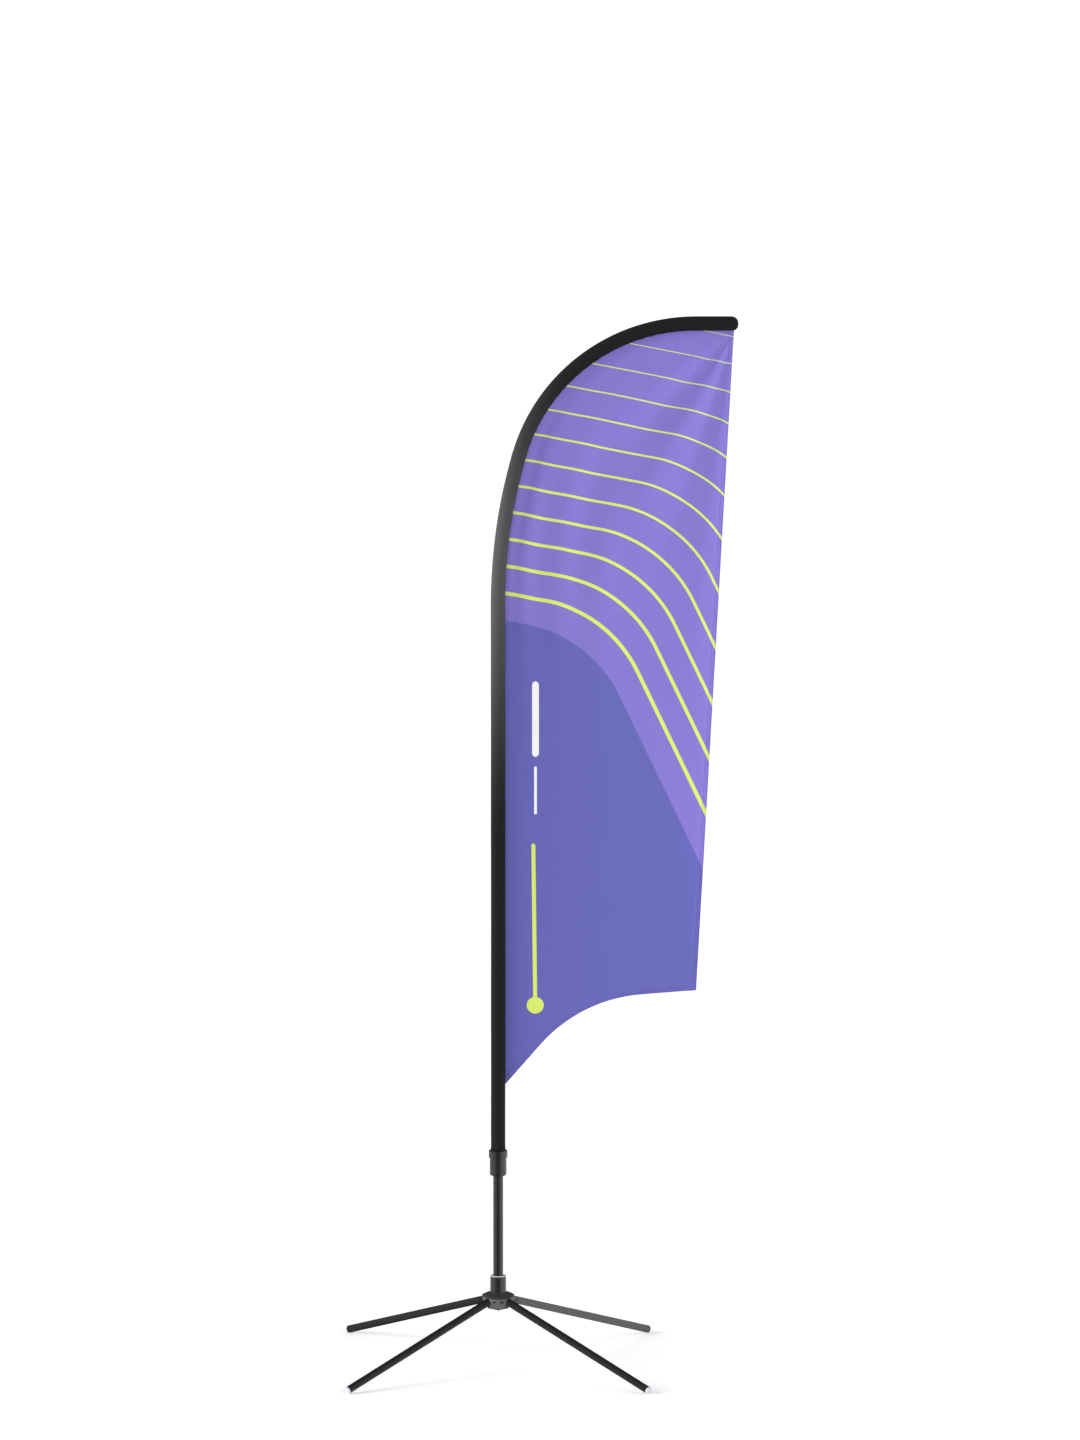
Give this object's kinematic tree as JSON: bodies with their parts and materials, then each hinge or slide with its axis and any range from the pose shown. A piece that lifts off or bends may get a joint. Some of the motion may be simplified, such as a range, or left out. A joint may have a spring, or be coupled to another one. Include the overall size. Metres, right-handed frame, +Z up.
{
  "type": "feather flag on a folding cross base",
  "caption": "Feather flag in a curved pole sleeve, on a turning mast and a folding four-leg cross base.",
  "frame": {"origin": "on the mast's axis at floor level, midway between the four feet", "axes": "+Z up along the mast, +X the way the flag flies, the flag lies in the XZ plane"},
  "size_m": [0.9865, 0.7718, 2.6731],
  "materials": {
    "hub_casting": "powder-coated cast steel, satin",
    "black_steel": "powder-coated steel tube, satin black",
    "grey_steel": "powder-coated steel, satin dark grey",
    "zinc_steel": "zinc-plated steel",
    "bearing_steel": "ground bearing steel",
    "cage_brass": "pressed brass",
    "white_plastic": "moulded acetal, off-white",
    "black_plastic": "moulded nylon, black",
    "mast_aluminium": "anodised aluminium",
    "glass_fibre": "pultruded glass fibre",
    "sleeve_fabric": "woven black polyester with a satin face",
    "flag_fabric": "printed knitted polyester"
  },
  "bodies": {
    "base": {"hub": "hub_casting", "socket_tube": "grey_steel", "top_bush": "white_plastic", "bearing_outer_race": "bearing_steel", "bearing_balls": "bearing_steel", "bearing_cage": "cage_brass", "bottom_cover": "black_steel", "cover_screws": "zinc_steel", "hinge_pins": "zinc_steel"},
    "leg_front_left": {"leg_tube_front_left": "black_steel", "leg_knuckle_front_left": "black_steel", "leg_rivet_front_left": "zinc_steel", "leg_plug_front_left": "white_plastic"},
    "leg_front_right": {"leg_tube_front_right": "black_steel", "leg_knuckle_front_right": "black_steel", "leg_rivet_front_right": "zinc_steel", "leg_plug_front_right": "white_plastic"},
    "leg_back_left": {"leg_tube_back_left": "black_steel", "leg_knuckle_back_left": "black_steel", "leg_rivet_back_left": "zinc_steel", "leg_plug_back_left": "black_plastic"},
    "leg_back_right": {"leg_tube_back_right": "grey_steel", "leg_knuckle_back_right": "black_steel", "leg_rivet_back_right": "zinc_steel", "leg_plug_back_right": "black_plastic"},
    "stem": {"stem_tube": "black_steel", "stem_collar": "zinc_steel", "bearing_inner_race": "bearing_steel", "stem_foot_plug": "zinc_steel", "stem_foot_washer": "zinc_steel", "stem_foot_bolt": "zinc_steel", "stem_top_plug": "black_plastic"},
    "mast": {"collar": "grey_steel", "collar_screw": "zinc_steel", "mast_lower_tube": "mast_aluminium", "mast_stop": "black_plastic", "mast_lower_ring": "black_plastic", "mast_middle_tube": "mast_aluminium", "mast_upper_ring": "black_plastic", "mast_upper_tube": "glass_fibre", "mast_rod": "glass_fibre", "rod_ferrule": "zinc_steel", "mast_tip": "glass_fibre", "tip_cap": "black_plastic", "pole_sleeve": "sleeve_fabric", "flag_panel": "flag_fabric"}
  },
  "joints": [
    {"name": "fold_front_left", "type": "hinge", "parent": "base", "child": "leg_front_left", "pos_m": [-0.02263, -0.02263, 0.163], "axis": [0.7071, -0.7071, 0], "range_deg": [0, 72.9]},
    {"name": "fold_front_right", "type": "hinge", "parent": "base", "child": "leg_front_right", "pos_m": [0.02263, -0.02263, 0.163], "axis": [0.7071, 0.7071, 0], "range_deg": [0, 72.9]},
    {"name": "fold_back_left", "type": "hinge", "parent": "base", "child": "leg_back_left", "pos_m": [-0.02263, 0.02263, 0.163], "axis": [-0.7071, -0.7071, 0], "range_deg": [0, 72.9]},
    {"name": "fold_back_right", "type": "hinge", "parent": "base", "child": "leg_back_right", "pos_m": [0.02263, 0.02263, 0.163], "axis": [-0.7071, 0.7071, 0], "range_deg": [0, 72.9]},
    {"name": "mast_spin", "type": "hinge", "parent": "base", "child": "stem", "pos_m": [0, 0, 0.1565], "axis": [0, 0, 1], "continuous": true},
    {"name": "mast_lift", "type": "slide", "parent": "stem", "child": "mast", "axis": [0, 0, 1], "range_m": [0, 0.12]}
  ]
}
